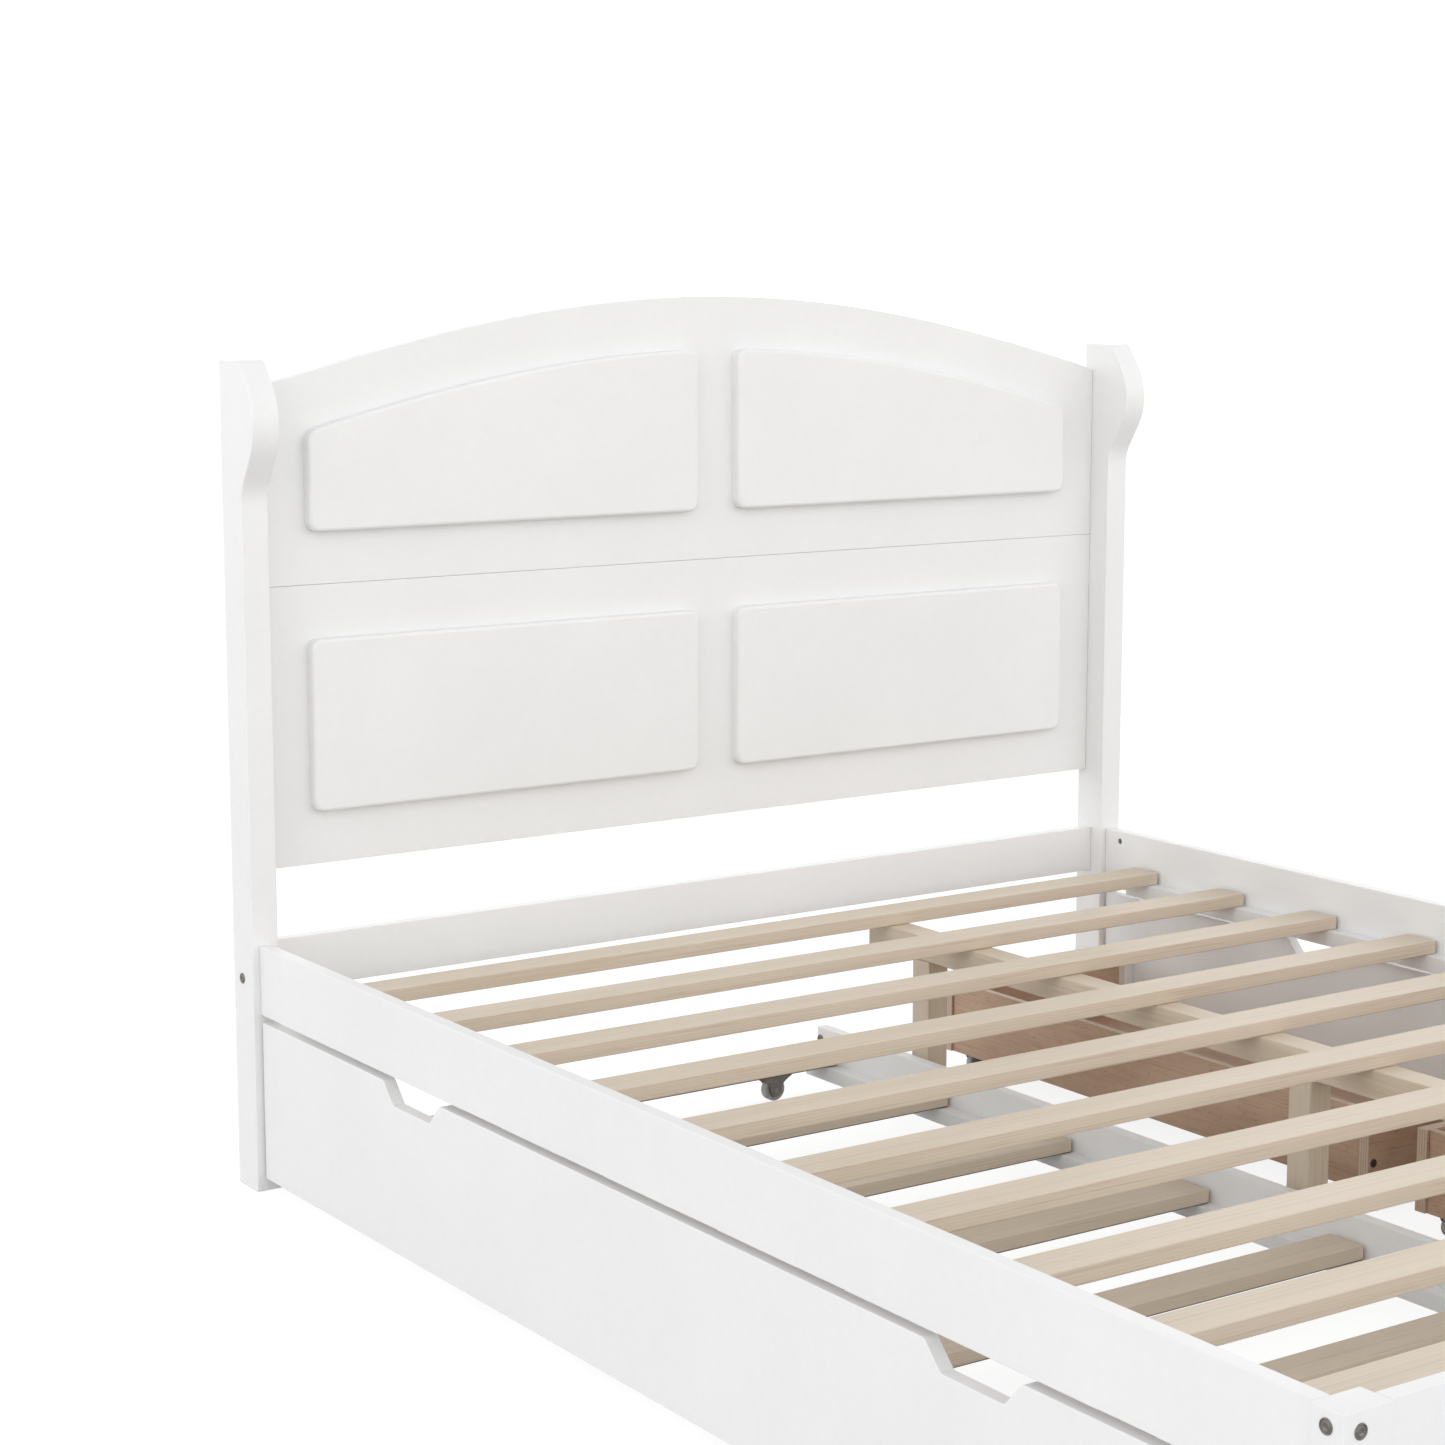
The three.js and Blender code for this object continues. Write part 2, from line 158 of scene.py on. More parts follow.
def box_mesh(size, edge, segments=3):
    """A box round its own middle, with rounded edges."""
    bm = bmesh.new()
    bmesh.ops.create_cube(bm, size=1.0)
    bmesh.ops.scale(bm, vec=size, verts=bm.verts[:])
    bmesh.ops.bevel(bm, geom=bm.edges[:], offset=edge, segments=segments, profile=0.5, affect="EDGES")
    return finished_mesh(bm, "board")


def make_board(name, low, high, body, look, edge, replaced=()):
    low, high = Vector(low), Vector(high)
    return make_piece(name, box_mesh(high - low, edge), body, look, (low + high) / 2, replaced)


def finish_board(node, body, look, edge):
    """The finished piece for a CAD node that is a plain board."""
    return make_board(node + "_finished", *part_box(node), body, look, edge, [node])


def slab_bmesh(outline, depth):
    """A flat shape, points (u, v) round its outline, extruded by depth along +w."""
    bm = bmesh.new()
    ring = [bm.verts.new((u, v, 0.0)) for u, v in outline]
    base = bm.faces.new(ring)
    grown = bmesh.ops.extrude_face_region(bm, geom=[base])
    lifted = [v for v in grown["geom"] if isinstance(v, bmesh.types.BMVert)]
    bmesh.ops.translate(bm, vec=(0, 0, depth), verts=lifted)
    bmesh.ops.recalc_face_normals(bm, faces=bm.faces[:])
    return bm


def round_edges(bm, edge, segments, wanted=lambda e: True):
    sharp = [e for e in bm.edges if e.calc_face_angle(0.0) > math.radians(25) and wanted(e)]
    bmesh.ops.bevel(bm, geom=sharp, offset=edge, segments=segments, profile=0.5, affect="EDGES")


ACROSS = Matrix(((0, 0, 1), (1, 0, 0), (0, 1, 0))).to_4x4()  # (u, v, w) to (y, z, x)
FORWARD = Matrix(((1, 0, 0), (0, 0, -1), (0, 1, 0))).to_4x4()  # (u, v, w) to (x, z, -y)


def make_slab(name, outline, depth, turn, middle, body, look, edge, replaced=()):
    """A shaped board, its outline in world coordinates; middle is the piece's own origin."""
    bm = slab_bmesh(outline, depth)
    round_edges(bm, edge, 3)
    bmesh.ops.transform(bm, matrix=Matrix.Translation(-Vector(middle)) @ turn, verts=bm.verts[:])
    return make_piece(name, finished_mesh(bm, "slab"), body, look, middle, replaced)


def turned_mesh(profile, steps=48):
    """A surface of revolution round z from (radius, height) points that start and end on the axis."""
    bm = bmesh.new()
    rings = []
    for radius, height in profile:
        if radius < 1e-7:
            rings.append([bm.verts.new((0, 0, height))])
            continue
        turns = [2 * math.pi * i / steps for i in range(steps)]
        rings.append([bm.verts.new((radius * math.cos(a), radius * math.sin(a), height)) for a in turns])
    for one, two in zip(rings, rings[1:]):
        for i in range(steps):
            j = (i + 1) % steps
            corners = [one[i % len(one)], one[j % len(one)], two[j % len(two)], two[i % len(two)]]
            bm.faces.new(list(dict.fromkeys(corners)))
    return finished_mesh(bm, "turned")


def facing(direction):
    """Turns +z to that direction."""
    return Vector((0, 0, 1)).rotation_difference(Vector(direction)).to_matrix().to_4x4()


def smooth_through(points, steps):
    """A Catmull-Rom curve through the points."""
    line = []
    padded = [points[0], *points, points[-1]]
    for a, b, c, d in zip(padded, padded[1:], padded[2:], padded[3:]):
        for i in range(steps):
            t = i / steps
            line.append(tuple(
                0.5 * (2 * q + (r - p) * t + (2 * p - 5 * q + 4 * r - s) * t**2
                       + (3 * q - p - 3 * r + s) * t**3)
                for p, q, r, s in zip(a, b, c, d)
            ))
    return [*line, points[-1]]


def soft_corner(before, corner, after, steps=8):
    """A quadratic curve from before to after that bends towards the corner."""
    made = []
    for i in range(steps + 1):
        t = i / steps
        made.append(tuple(
            (1 - t) ** 2 * a + 2 * t * (1 - t) * b + t**2 * c for a, b, c in zip(before, corner, after)
        ))
    return made


# Materials

def start_material(name):
    material = bpy.data.materials.new(name)
    material.use_nodes = True
    tree = material.node_tree
    tree.nodes.clear()
    output = tree.nodes.new("ShaderNodeOutputMaterial")
    shader = tree.nodes.new("ShaderNodeBsdfPrincipled")
    tree.links.new(shader.outputs["BSDF"], output.inputs["Surface"])
    return material, tree, shader


def piece_point(tree, spread=3.7):
    """The point in the piece's own frame, moved by the piece's tone so that no two pieces look alike."""
    place = tree.nodes.new("ShaderNodeTexCoord")
    tone = tree.nodes.new("ShaderNodeAttribute")
    tone.attribute_name = "tone"
    shift = tree.nodes.new("ShaderNodeVectorMath")
    shift.operation = "SCALE"
    shift.inputs[0].default_value = (spread, 0, 0)
    tree.links.new(tone.outputs["Fac"], shift.inputs["Scale"])
    moved = tree.nodes.new("ShaderNodeVectorMath")
    tree.links.new(place.outputs["Object"], moved.inputs[0])
    tree.links.new(shift.outputs[0], moved.inputs[1])
    return moved.outputs[0], place


def stretched(tree, point, scale, offset=(0, 0, 0)):
    mapping = tree.nodes.new("ShaderNodeMapping")
    mapping.inputs["Scale"].default_value = scale
    mapping.inputs["Location"].default_value = offset
    tree.links.new(point, mapping.inputs["Vector"])
    return mapping.outputs["Vector"]


def noise(tree, point, scale, detail=3.0, roughness=0.5):
    made = tree.nodes.new("ShaderNodeTexNoise")
    made.inputs["Scale"].default_value = scale
    made.inputs["Detail"].default_value = detail
    made.inputs["Roughness"].default_value = roughness
    tree.links.new(point, made.inputs["Vector"])
    return made.outputs["Fac"]


def ranged(tree, value, low, high, start=0.0, end=1.0):
    """The value from start..end, spread over low..high."""
    made = tree.nodes.new("ShaderNodeMapRange")
    made.inputs["From Min"].default_value = start
    made.inputs["From Max"].default_value = end
    made.inputs["To Min"].default_value = low
    made.inputs["To Max"].default_value = high
    tree.links.new(value, made.inputs["Value"])
    return made.outputs["Result"]


def maths(tree, operation, first, second):
    made = tree.nodes.new("ShaderNodeMath")
    made.operation = operation
    for socket, value in zip(made.inputs, (first, second)):
        if isinstance(value, (int, float)):
            socket.default_value = value
        else:
            tree.links.new(value, socket)
    return made.outputs["Value"]


def ramp(tree, value, stops):
    """Colours (r, g, b) at places from 0 to 1."""
    made = tree.nodes.new("ShaderNodeValToRGB")
    elements = made.color_ramp.elements
    while len(elements) < len(stops):
        elements.new(0.5)
    for element, (place, colour) in zip(elements, stops):
        element.position = place
        element.color = (*colour, 1.0)
    tree.links.new(value, made.inputs["Fac"])
    return made.outputs["Color"]


def mixed(tree, first, second, share, blend="MIX"):
    made = tree.nodes.new("ShaderNodeMix")
    made.data_type = "RGBA"
    made.blend_type = blend
    sockets = {"Factor": share, "A": first, "B": second}
    colours = [s for s in made.inputs if s.type == "RGBA"]
    targets = {"Factor": made.inputs["Factor"], "A": colours[0], "B": colours[1]}
    for key, value in sockets.items():
        if isinstance(value, (int, float)):
            targets[key].default_value = value
        elif isinstance(value, tuple):
            targets[key].default_value = (*value, 1.0)
        else:
            tree.links.new(value, targets[key])
    return next(s for s in made.outputs if s.type == "RGBA")


def bump(tree, shader, height, strength, distance):
    made = tree.nodes.new("ShaderNodeBump")
    made.inputs["Strength"].default_value = strength
    made.inputs["Distance"].default_value = distance
    tree.links.new(height, made.inputs["Height"])
    tree.links.new(made.outputs["Normal"], shader.inputs["Normal"])


def scaled(colour, factor):
    return tuple(c * factor for c in colour)


def axis_scale(along, on_axis, off_axis):
    return tuple(on_axis if axis == along else off_axis for axis in "XYZ")


def off_axis_share(tree, place, axis, low=0.35, high=0.75):
    """0 where the surface faces along the axis, 1 where it faces across it."""
    parts = tree.nodes.new("ShaderNodeSeparateXYZ")
    tree.links.new(place.outputs["Normal"], parts.inputs["Vector"])
    facing_it = maths(tree, "ABSOLUTE", parts.outputs[axis], 0.0)
    return ranged(tree, facing_it, 1.0, 0.0, low, high)


def white_paint():
    """Satin lacquer, sprayed on board: faint unevenness, a fine orange peel and soft gloss changes."""
    material, tree, shader = start_material("white_paint")
    point, _ = piece_point(tree)
    cloud = noise(tree, point, 5.0, 3.0)
    fine = noise(tree, point, 90.0, 2.0)
    base = ramp(tree, cloud, [(0.25, (0.812, 0.813, 0.812)), (0.75, (0.838, 0.839, 0.838))])
    speck = ramp(tree, fine, [(0.3, (0.985, 0.985, 0.985)), (0.7, (1.0, 1.0, 1.0))])
    tree.links.new(mixed(tree, base, speck, 1.0, "MULTIPLY"), shader.inputs["Base Color"])
    tree.links.new(ranged(tree, noise(tree, point, 14.0), 0.33, 0.47, 0.3, 0.7), shader.inputs["Roughness"])
    peel = noise(tree, point, 650.0, 2.0)
    bump(tree, shader, peel, 0.06, 0.0004)
    return material


def softwood(along, name, painted_shade_edge=None):
    """Planed, unfinished softwood, its grain along one axis of the piece, maybe with painted shade: a dark
    band along the piece's lower edge.
    """
    material, tree, shader = start_material(name)
    point, place = piece_point(tree)
    centre = (0.021, 0.021, 0.047)
    rings_point = stretched(tree, point, axis_scale(along, 0.055, 1.0), centre)
    rings = tree.nodes.new("ShaderNodeTexWave")
    rings.wave_type = "RINGS"
    rings.rings_direction = along
    rings.wave_profile = "SAW"
    rings.inputs["Scale"].default_value = 78.0
    rings.inputs["Distortion"].default_value = 3.4
    rings.inputs["Detail"].default_value = 3.0
    rings.inputs["Detail Scale"].default_value = 0.55
    tree.links.new(rings_point, rings.inputs["Vector"])
    grain = ramp(tree, rings.outputs["Fac"], [
        (0.0, PINE), (0.62, scaled(PINE, 0.985)), (0.88, PINE_LATE), (0.95, PINE_LATE), (1.0, PINE),
    ])
    fibre_point = stretched(tree, point, axis_scale(along, 6.0, 480.0))
    fibre = noise(tree, fibre_point, 1.0, 3.0, 0.6)
    streak = ramp(tree, fibre, [
        (0.31, (0.83, 0.80, 0.76)), (0.42, (0.98, 0.975, 0.965)), (0.7, (1.025, 1.025, 1.025)),
    ])
    blotch_point = stretched(tree, point, axis_scale(along, 2.2, 14.0))
    blotch = ramp(tree, noise(tree, blotch_point, 1.0, 2.0), [
        (0.32, (0.965, 0.945, 0.915)), (0.5, (1.0, 0.995, 0.99)), (0.68, (1.025, 1.01, 1.02)),
    ])
    colour = mixed(tree, mixed(tree, grain, streak, 1.0, "MULTIPLY"), blotch, 1.0, "MULTIPLY")
    # Painted shade: the colour turns near-black towards the piece's bottom between the two given heights, a
    # shadow painted along the lower edge.
    if painted_shade_edge:
        height = tree.nodes.new("ShaderNodeSeparateXYZ")
        tree.links.new(place.outputs["Object"], height.inputs["Vector"])
        under = ranged(tree, height.outputs["Z"], 1.0, 0.0, painted_shade_edge[0], painted_shade_edge[1])
        colour = mixed(tree, colour, (0.115, 0.088, 0.062), under)
    end_grain = off_axis_share(tree, place, along)
    end_colour = mixed(tree, colour, (0.80, 0.76, 0.71), 1.0, "MULTIPLY")
    tree.links.new(mixed(tree, end_colour, colour, end_grain), shader.inputs["Base Color"])
    tree.links.new(ranged(tree, fibre, 0.36, 0.52, 0.3, 0.7), shader.inputs["Roughness"])
    height = maths(tree, "ADD", fibre, maths(tree, "MULTIPLY", rings.outputs["Fac"], 0.4))
    bump(tree, shader, height, 0.12, 0.0003)
    return material


def plywood(along, across, name):
    """Stained plywood: a brown veneer with pores and a soft figure, and pale layered edges."""
    material, tree, shader = start_material(name)
    point, place = piece_point(tree)
    figure_point = stretched(tree, point, axis_scale(along, 3.2, 13.0))
    figure = noise(tree, figure_point, 1.0, 5.0, 0.6)
    veneer = ramp(tree, figure, [
        (0.28, (0.435, 0.286, 0.196)), (0.5, (0.540, 0.368, 0.262)), (0.72, (0.630, 0.452, 0.334)),
    ])
    ribbon = ramp(tree, noise(tree, point, 7.0, 3.0), [(0.3, (0.90, 0.88, 0.87)), (0.7, (1.05, 1.05, 1.05))])
    line_point = stretched(tree, point, axis_scale(along, 11.0, 470.0))
    lines = ramp(tree, noise(tree, line_point, 1.0, 2.0, 0.5), [
        (0.32, (0.84, 0.81, 0.78)), (0.45, (0.98, 0.98, 0.975)), (0.7, (1.03, 1.035, 1.035)),
    ])
    shaded = mixed(tree, mixed(tree, veneer, ribbon, 1.0, "MULTIPLY"), lines, 1.0, "MULTIPLY")
    pore_point = stretched(tree, point, axis_scale(along, 85.0, 430.0))
    pores = noise(tree, pore_point, 1.0, 2.0)
    pore_tint = ramp(tree, pores, [(0.27, (0.66, 0.61, 0.57)), (0.37, (1.0, 1.0, 1.0))])
    face = mixed(tree, shaded, pore_tint, 1.0, "MULTIPLY")
    layers = tree.nodes.new("ShaderNodeTexWave")
    layers.bands_direction = across
    layers.wave_profile = "SIN"
    layers.inputs["Scale"].default_value = 72.0
    layers.inputs["Distortion"].default_value = 0.6
    layers.inputs["Detail Scale"].default_value = 4.0
    tree.links.new(place.outputs["Object"], layers.inputs["Vector"])
    edge = ramp(tree, layers.outputs["Fac"], [
        (0.15, (0.455, 0.325, 0.240)), (0.5, (0.565, 0.430, 0.335)), (0.85, (0.620, 0.485, 0.385)),
    ])
    worn_edge = mixed(tree, edge, pore_tint, 0.6, "MULTIPLY")
    is_edge = off_axis_share(tree, place, across)
    tree.links.new(mixed(tree, face, worn_edge, is_edge), shader.inputs["Base Color"])
    tree.links.new(ranged(tree, pores, 0.56, 0.42, 0.3, 0.7), shader.inputs["Roughness"])
    bump(tree, shader, pores, 0.15, 0.0003)
    return material


def metal(name, colour, roughness, metallic):
    """Pressed steel: small gloss changes and fine scratches under its finish."""
    material, tree, shader = start_material(name)
    point, _ = piece_point(tree)
    cloud = noise(tree, point, 120.0, 3.0)
    tint = ramp(tree, cloud, [(0.3, scaled(colour, 0.85)), (0.7, scaled(colour, 1.12))])
    tree.links.new(tint, shader.inputs["Base Color"])
    shader.inputs["Metallic"].default_value = metallic
    rough = ranged(tree, noise(tree, point, 300.0), roughness * 0.8, roughness * 1.25, 0.3, 0.7)
    tree.links.new(rough, shader.inputs["Roughness"])
    bump(tree, shader, noise(tree, point, 1500.0, 2.0), 0.08, 0.0002)
    return material


def wheel_nylon():
    """Grey moulded nylon, scuffed where it rolls."""
    material, tree, shader = start_material("wheel_nylon")
    point, _ = piece_point(tree)
    scuff = noise(tree, point, 260.0, 4.0, 0.65)
    tint = ramp(tree, scuff, [(0.35, (0.350, 0.348, 0.342)), (0.65, (0.490, 0.487, 0.478))])
    tree.links.new(tint, shader.inputs["Base Color"])
    tree.links.new(ranged(tree, scuff, 0.38, 0.6, 0.3, 0.7), shader.inputs["Roughness"])
    bump(tree, shader, scuff, 0.12, 0.0003)
    return material


PINE = (0.655, 0.562, 0.452)
PINE_LATE = (0.606, 0.512, 0.402)  # the darker, summer side of a growth ring
PAINT = (white_paint(), "white_paint")
WOOD = {axis: (softwood(axis, f"softwood_{axis.lower()}"), "natural_wood") for axis in "XYZ"}
# The trundle slats' softwood, with painted shade: a near-black band along their lower edge.
LOW_WOOD_PAINTED_SHADE = (softwood("X", "softwood_low_painted_shade", (-0.0083, -0.0070)), "natural_wood")
PLY_SIDE = (plywood("X", "Y", "plywood_side"), "plywood")
PLY_BACK = (plywood("Y", "X", "plywood_back"), "plywood")
PLY_BOTTOM = (plywood("Y", "Z", "plywood_bottom"), "plywood")
FORK_STEEL = (metal("fork_steel", (0.285, 0.262, 0.240), 0.42, 0.6), "caster_steel")
AXLE_STEEL = (metal("axle_steel", (0.380, 0.360, 0.335), 0.38, 0.7), "caster_steel")
BOLT_STEEL = (metal("bolt_steel", (0.225, 0.213, 0.197), 0.36, 0.85), "caster_steel")
DARK_BOLT = (metal("dark_bolt", (0.085, 0.082, 0.080), 0.32, 0.8), "caster_steel")
NYLON = (wheel_nylon(), "caster_wheel")


# Headboard

def arc(centre, radius, start, end, steps):
    turns = [start + (end - start) * i / steps for i in range(steps + 1)]
    return [(centre[0] + radius * math.cos(t), centre[1] + radius * math.sin(t)) for t in turns]


def scroll(top):
    """Front outline of a scroll from its foot up, as (distance forward of the back face, height)."""
    lower = math.radians(LOWER_SLOPE)
    upper = math.radians(UPPER_SLOPE)
    bulge = (SCROLL_REACH - BULGE_R, SCROLL_Z)
    slope_x = bulge[0] + BULGE_R * math.cos(lower)
    slope_z = bulge[1] - BULGE_R * math.sin(lower)
    hollow_x = POST_D + HOLLOW_R
    hollow_z = slope_z + ((hollow_x - slope_x) * math.cos(lower) - HOLLOW_R) / math.sin(lower)
    crown_z = top - CROWN_R
    rise = (crown_z - bulge[1]) * math.sin(upper)
    crown_x = bulge[0] + (BULGE_R - CROWN_R - rise) / math.cos(upper)
    return [
        *arc((hollow_x, hollow_z), HOLLOW_R, math.pi, math.pi - lower, 14),
        *arc(bulge, BULGE_R, -lower, upper, 36),
        *arc((crown_x, crown_z), CROWN_R, upper, math.pi / 2, 12),
    ]


def head_posts():
    for side in ("left", "right"):
        node = f"head_post_{side}"
        low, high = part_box(node)
        ear = [(from_head(d), z) for d, z in scroll(high.z)]
        outline = [(HEAD_Y, 0.0), (ear[0][0], 0.0), *ear, (HEAD_Y, ear[-1][1])]
        middle = ((low.x + high.x) / 2, HEAD_Y - POST_D / 2, high.z / 2)
        turn = Matrix.Translation((low.x, 0, 0)) @ ACROSS
        make_slab(f"{node}_finished", outline, high.x - low.x, turn, middle, "bed", PAINT, POST_EDGE, [node])


def arch_height(x, half, crown):
    t = x / half
    rise = 0.7 * math.cos(math.pi / 2 * t) + 0.3 * (1 - t * t)
    return SHOULDER + (crown - SHOULDER) * rise


def field_outline(side, low, top_at):
    """A raised field's outline in (x, z), rounded at the corners, its top edge following top_at."""
    left, right = sorted((side * FIELD_INNER, side * FIELD_OUTER))
    r = FIELD_CORNER
    points = soft_corner((left, low + r), (left, low), (left + r, low))
    points += soft_corner((right - r, low), (right, low), (right, low + r))
    points += soft_corner((right, top_at(right) - r), (right, top_at(right)), (right - r, top_at(right - r)))
    steps = 40
    across = [right - r + (left - right + 2 * r) * i / steps for i in range(1, steps)]
    points += [(x, top_at(x)) for x in across]
    points += soft_corner((left + r, top_at(left + r)), (left, top_at(left)), (left, top_at(left) - r))
    return points


def raised_field(name, outline, board_front):
    sunk = 0.0004
    depth = FIELD_PROUD + sunk
    bm = slab_bmesh(outline, depth)
    round_edges(bm, FIELD_SOFT, 7, lambda e: all(v.co.z > depth / 2 for v in e.verts))
    round_edges(bm, FIELD_CREASE, 2, lambda e: all(v.co.z < 1e-6 for v in e.verts))
    us, vs = zip(*outline)
    middle = Vector(((min(us) + max(us)) / 2, board_front, (min(vs) + max(vs)) / 2))
    turn = Matrix.Translation(Vector((0, board_front + sunk, 0)) - middle) @ FORWARD
    bmesh.ops.transform(bm, matrix=turn, verts=bm.verts[:])
    make_piece(name, finished_mesh(bm, "field"), "bed", PAINT, middle)


def headboard():
    low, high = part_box("headboard_upper")
    half = (high.x - low.x) / 2
    crown = high.z
    steps = 96
    xs = [high.x - 2 * half * i / steps for i in range(steps + 1)]
    outline = [(low.x, low.z), (high.x, low.z), *[(x, arch_height(x, half, crown)) for x in xs]]
    middle = (0, high.y - HEADBOARD_T / 2, (low.z + high.z) / 2)
    turn = Matrix.Translation((0, high.y, 0)) @ FORWARD
    make_slab("headboard_upper_finished", outline, HEADBOARD_T, turn, middle, "bed", PAINT, BOARD_EDGE,
              ["headboard_upper"])
    front = high.y - HEADBOARD_T
    for side, word in ((-1, "left"), (1, "right")):
        shape = field_outline(
            side, low.z + UPPER_FOOT_MARGIN, lambda x: arch_height(x, half, crown) - FIELD_ARCH_MARGIN
        )
        raised_field(f"headboard_field_upper_{word}", shape, front)

    base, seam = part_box("headboard_lower")
    make_board("headboard_lower_finished", (base.x, front, base.z), (seam.x, high.y, seam.z), "bed", PAINT,
               BOARD_EDGE, ["headboard_lower"])
    for side, word in ((-1, "left"), (1, "right")):
        shape = field_outline(side, base.z + LOWER_FOOT_MARGIN, lambda x: seam.z - FIELD_TOP_MARGIN)
        raised_field(f"headboard_field_lower_{word}", shape, front)


# Fasteners

def bolt_mesh(radius, proud, socket):
    """A flat bolt head with a rounded rim and a six-sided socket, its seat at z = 0."""
    steps = 48
    bm = bmesh.new()

    def ring(r, z):
        turns = [2 * math.pi * i / steps for i in range(steps)]
        return [bm.verts.new((r * math.cos(a), r * math.sin(a), z)) for a in turns]

    groove = 0.0009
    rings = [ring(radius * share, height) for share, height in (
        (1.0, -0.002), (1.0, proud * 0.35), (0.97, proud * 0.75), (0.90, proud), (0.80, proud),
        (0.77, proud - groove * 0.7), (0.73, proud - groove), (0.69, proud - groove * 0.6),
        (0.66, proud * 0.95), (0.50, proud * 1.05), (0.44, proud * 0.95),
    )]
    for one, two in zip(rings, rings[1:]):
        for i in range(steps):
            j = (i + 1) % steps
            bm.faces.new((one[i], one[j], two[j], two[i]))
    corners = [(socket * math.cos(math.pi / 3 * k), socket * math.sin(math.pi / 3 * k)) for k in range(6)]
    mouth = [bm.verts.new((x, y, proud * 0.8)) for x, y in corners]
    pit = [bm.verts.new((x * 0.9, y * 0.9, 0.0002)) for x, y in corners]
    share = steps // 6
    for k in range(6):
        n = (k + 1) % 6
        arc = [rings[-1][(k * share + i) % steps] for i in range(share + 1)]
        bm.faces.new([*arc, mouth[n], mouth[k]])
        bm.faces.new((mouth[k], mouth[n], pit[n], pit[k]))
    bm.faces.new(pit)
    bm.faces.new(rings[0])
    return finished_mesh(bm, "bolt")


def make_bolt(name, place, direction, body, look, radius=BOLT_R):
    mesh = bolt_mesh(radius, BOLT_PROUD, radius * 0.33)
    mesh.transform(facing(direction))
    return make_piece(name, mesh, body, look, place)


def nut_mesh(radius):
    """The visible end of a barrel nut: a disc with a screwdriver slot, its face at z = 0."""
    slot_half, slot_depth, length = 0.0007, 0.0009, 0.003
    bm = bmesh.new()
    start = math.asin(slot_half / radius)
    for side in (1, -1):
        turns = [start + (math.pi - 2 * start) * i / 20 for i in range(21)]
        half = [(radius * math.cos(a), side * radius * math.sin(a)) for a in turns]
        top = [bm.verts.new((x, y, 0.0)) for x, y in half]
        base = [bm.verts.new((x, y, -slot_depth)) for x, y in half]
        bm.faces.new(top)
        bm.faces.new(base)
        for i in range(len(half)):
            j = (i + 1) % len(half)
            bm.faces.new((top[i], top[j], base[j], base[i]))
    steps = 40
    turns = [2 * math.pi * i / steps for i in range(steps)]
    upper = [bm.verts.new((radius * math.cos(a), radius * math.sin(a), -slot_depth)) for a in turns]
    lower = [bm.verts.new((v.co.x, v.co.y, -length)) for v in upper]
    bm.faces.new(upper)
    bm.faces.new(lower)
    for i in range(steps):
        j = (i + 1) % steps
        bm.faces.new((upper[i], upper[j], lower[j], lower[i]))
    return finished_mesh(bm, "nut")


def make_nut(name, place, direction, body):
    mesh = nut_mesh(NUT_R * 0.96)
    mesh.transform(facing(direction))
    return make_piece(name, mesh, body, BOLT_STEEL, Vector(place) - Vector(direction) * 0.0008)


def drill(piece, place, direction, radius, depth):
    """Cuts a blind round hole into a piece, from a place on its surface against the direction."""
    inside, outside = -depth, 0.002
    cutter_mesh = turned_mesh([(0, inside), (radius, inside), (radius, outside), (0, outside)], 40)
    cutter = bpy.data.objects.new("cutter", cutter_mesh)
    bpy.context.scene.collection.objects.link(cutter)
    cutter.matrix_world = Matrix.Translation(place) @ facing(direction)
    cut = piece.modifiers.new("drill", "BOOLEAN")
    cut.operation = "DIFFERENCE"
    cut.solver = "EXACT"
    cut.object = cutter
    piece.modifiers.move(len(piece.modifiers) - 1, 0)
    bpy.context.view_layer.update()
    flats = piece.modifiers["level_flats"]
    flats.show_viewport = False
    evaluated = piece.evaluated_get(bpy.context.evaluated_depsgraph_get())
    mesh = bpy.data.meshes.new_from_object(evaluated)
    flats.show_viewport = True
    piece.modifiers.remove(cut)
    piece.data = mesh
    mesh.set_sharp_from_angle(angle=math.radians(50))
    bpy.data.objects.remove(cutter)


# Frame and deck

def bed_frame():
    finish_board("head_rail", "bed", PAINT, PAINT_EDGE)
    finish_board("foot_rail", "bed", PAINT, PAINT_EDGE)
    for sign, side in ((-1, "left"), (1, "right")):
        node = f"side_rail_{side}"
        low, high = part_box(node)
        outer = low.x if sign < 0 else high.x
        inner = outer - sign * BOARD
        (x0, x1), (l0, l1) = sorted((outer, inner)), sorted((inner, inner - sign * LEDGER_W))
        rail = make_board(f"{node}_finished", (x0, low.y, low.z), (x1, high.y, high.z), "bed", PAINT,
                          PAINT_EDGE, [node])
        make_board(f"{node}_ledger", (l0, from_head(LEDGER_END), low.z),
                   (l1, from_head(LEDGER_START), LEDGER_TOP), "bed", PAINT, LEDGER_EDGE)
        finish_board(f"foot_post_{side}", "bed", PAINT, POST_EDGE)
        rail_bolts(sign, side, rail, inner)


